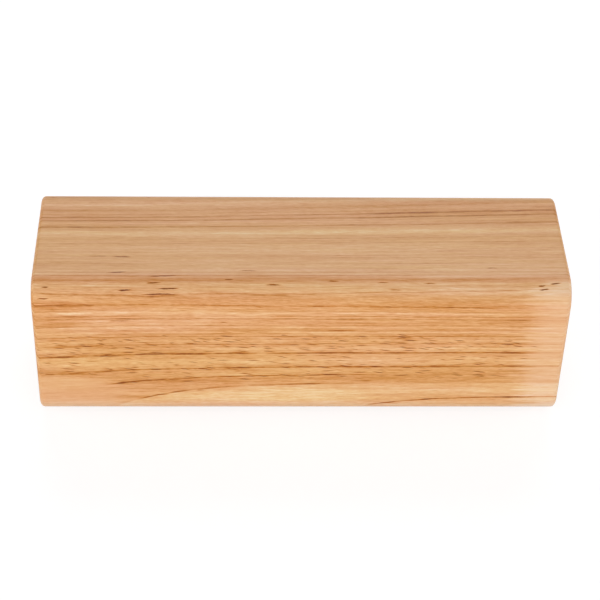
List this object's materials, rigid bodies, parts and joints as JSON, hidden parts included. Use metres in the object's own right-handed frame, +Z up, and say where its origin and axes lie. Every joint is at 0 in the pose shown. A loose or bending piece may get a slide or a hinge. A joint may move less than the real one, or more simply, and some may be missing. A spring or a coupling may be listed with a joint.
{
  "type": "wood block",
  "caption": "Rectangular wood block with rounded long edges, a blind sound slot along its rear side, and small rubber feet.",
  "frame": {"origin": "on the surface that the feet stand on, under the middle of the block", "axes": "+X along the grain and the length, -Y out of the plain front side, +Y out of the slotted rear side, +Z up through the tone plate"},
  "size_m": [0.195, 0.061, 0.066],
  "materials": {
    "lacquered_hardwood": "clear satin lacquer over pale, open-pored hardwood with brown growth lines and short dark pores",
    "foot_rubber": "matt black moulded rubber"
  },
  "bodies": {
    "root": {"block_body": "lacquered_hardwood", "foot_front_left": "foot_rubber", "foot_front_right": "foot_rubber", "foot_rear_left": "foot_rubber", "foot_rear_right": "foot_rubber"}
  },
  "joints": []
}
